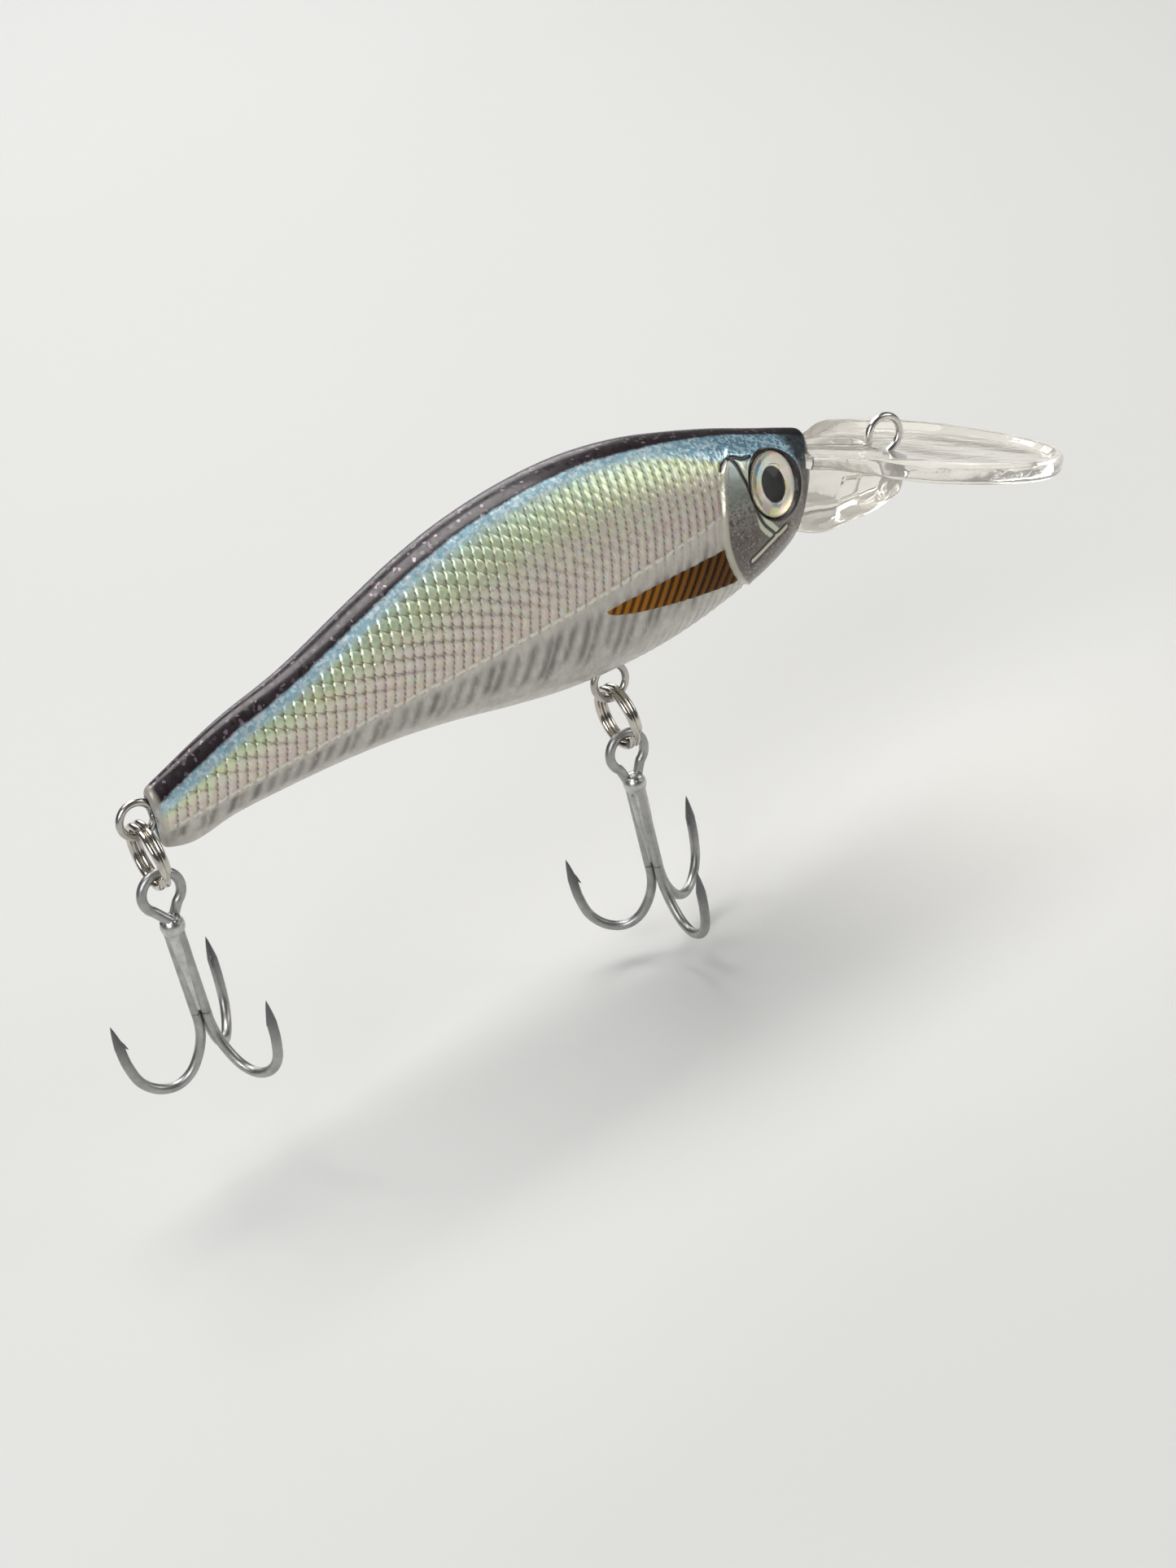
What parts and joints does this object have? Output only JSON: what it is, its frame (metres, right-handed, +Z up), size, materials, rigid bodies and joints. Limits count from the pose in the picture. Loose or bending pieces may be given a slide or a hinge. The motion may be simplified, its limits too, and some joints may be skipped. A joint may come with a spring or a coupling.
{
  "type": "deep-diving crankbait lure",
  "caption": "Shad-shaped hard fishing lure with a clear diving lip, line-tie loop and free-swinging treble hooks hung on split rings.",
  "frame": {"origin": "centre of the line-tie loop, on the lure's mid-plane", "axes": "+X out of the nose along the body, +Y to the lure's left, +Z up through the back"},
  "size_m": [0.0989, 0.0166, 0.0453],
  "materials": {
    "body_plastic": "painted and clear-coated gloss over a clear moulded body: black-violet back, blue band, green-pearl scaled flanks, milky belly",
    "clear_plastic": "clear polished polycarbonate",
    "wire": "drawn stainless wire",
    "ring_steel": "bright nickel",
    "hook_steel": "satin smoked nickel",
    "braze": "bright brazing metal",
    "ballast": "plain cast weight",
    "eye_foil": "holographic pearl foil",
    "eye_black": "printed black",
    "eye_lens": "clear epoxy dome"
  },
  "bodies": {
    "lure": {"body_shell_right": "body_plastic", "body_shell_left": "body_plastic", "ballast_weight": "ballast", "diving_lip": "clear_plastic", "line_tie_wire": "wire", "belly_hanger_wire": "wire", "tail_hanger_wire": "wire", "eye_foil_right": "eye_foil", "eye_pupil_right": "eye_black", "eye_lens_right": "eye_lens", "eye_foil_left": "eye_foil", "eye_pupil_left": "eye_black", "eye_lens_left": "eye_lens"},
    "belly_ring": {"belly_split_ring": "ring_steel"},
    "belly_treble": {"belly_treble_pair": "hook_steel", "belly_treble_third": "hook_steel", "belly_treble_braze": "braze"},
    "tail_ring": {"tail_split_ring": "ring_steel"},
    "tail_treble": {"tail_treble_pair": "hook_steel", "tail_treble_third": "hook_steel", "tail_treble_braze": "braze"}
  },
  "joints": [
    {"name": "belly_ring_swing", "type": "hinge", "parent": "lure", "child": "belly_ring", "pos_m": [-0.0312, 0, -0.01115], "axis": [1, 0, 0], "range_deg": [-60, 60]},
    {"name": "belly_treble_swing", "type": "hinge", "parent": "belly_ring", "child": "belly_treble", "pos_m": [-0.0312, 0, -0.01651], "axis": [0, 1, 0], "range_deg": [-60, 60]},
    {"name": "tail_ring_swing", "type": "hinge", "parent": "lure", "child": "tail_ring", "pos_m": [-0.0738, 0, -0.00285], "axis": [1, 0, 0], "range_deg": [-60, 60]},
    {"name": "tail_treble_swing", "type": "hinge", "parent": "tail_ring", "child": "tail_treble", "pos_m": [-0.0738, 0, -0.00821], "axis": [0, 1, 0], "range_deg": [-60, 60]}
  ]
}
